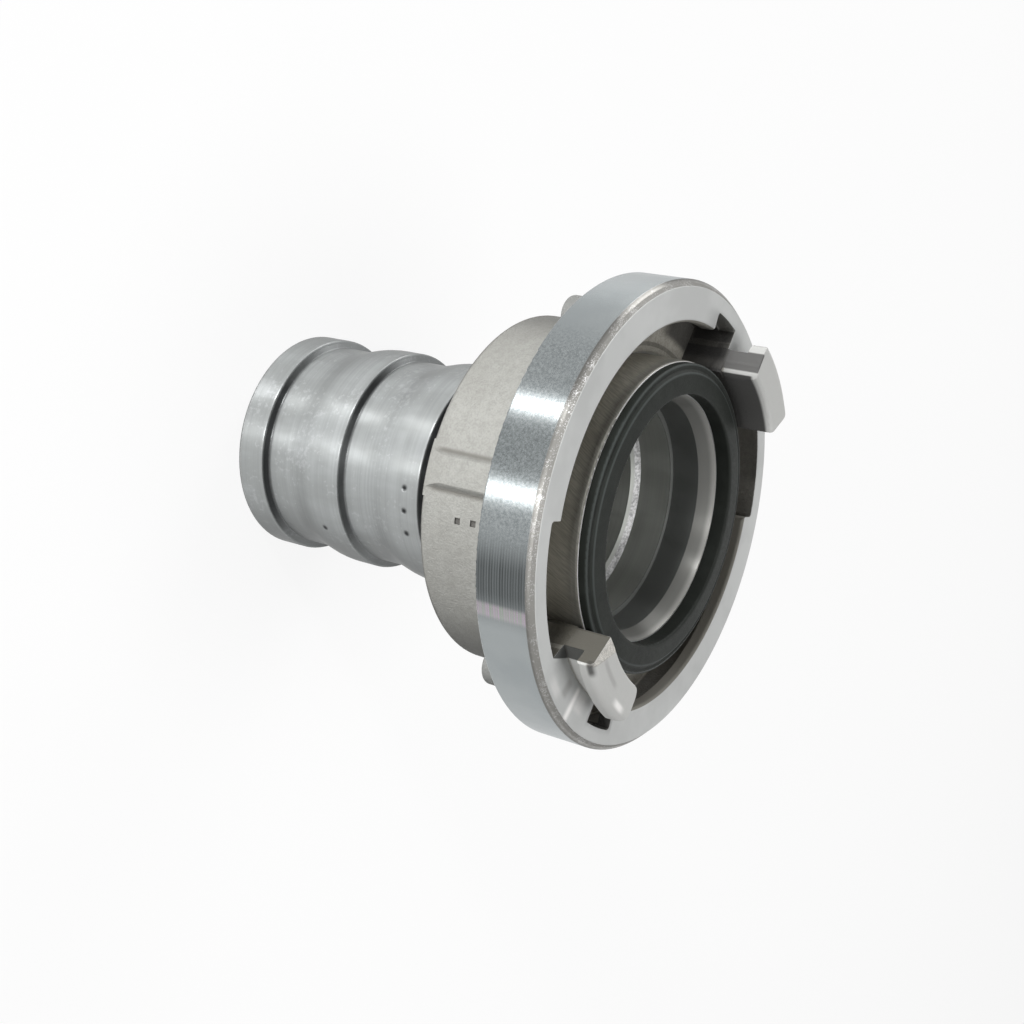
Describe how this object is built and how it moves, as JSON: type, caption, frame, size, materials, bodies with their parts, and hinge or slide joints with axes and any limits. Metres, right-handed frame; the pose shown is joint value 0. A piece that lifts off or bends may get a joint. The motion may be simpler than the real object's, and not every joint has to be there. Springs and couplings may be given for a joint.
{
  "type": "quarter turn fire hose coupling",
  "caption": "Fire hose coupling half with a turning claw ring, a ribbed hose tail and a lipped rubber seal. Locks to its like by a quarter turn.",
  "frame": {"origin": "centre of the hose tail's end face, on the coupling's axis", "axes": "+Z along the coupling's axis from the hose end to the claws, +X through the middle of one claw"},
  "size_m": [0.098, 0.098, 0.1032],
  "materials": {
    "turned_aluminium": "satin, blotchy, with turning marks",
    "cast_aluminium": "fine sandy casting, with a bright turned rim",
    "seal_rubber": "matte, moulded",
    "spring_wire": "drawn wire"
  },
  "bodies": {
    "tail": {"hose_tail": "turned_aluminium", "seal_ring": "seal_rubber", "retaining_ring": "spring_wire"},
    "ring": {"claw_ring": "cast_aluminium"}
  },
  "joints": [
    {"name": "claw_ring_swivel", "type": "hinge", "parent": "tail", "child": "ring", "pos_m": [0, 0, 0.063], "axis": [0, 0, 1], "continuous": true}
  ]
}
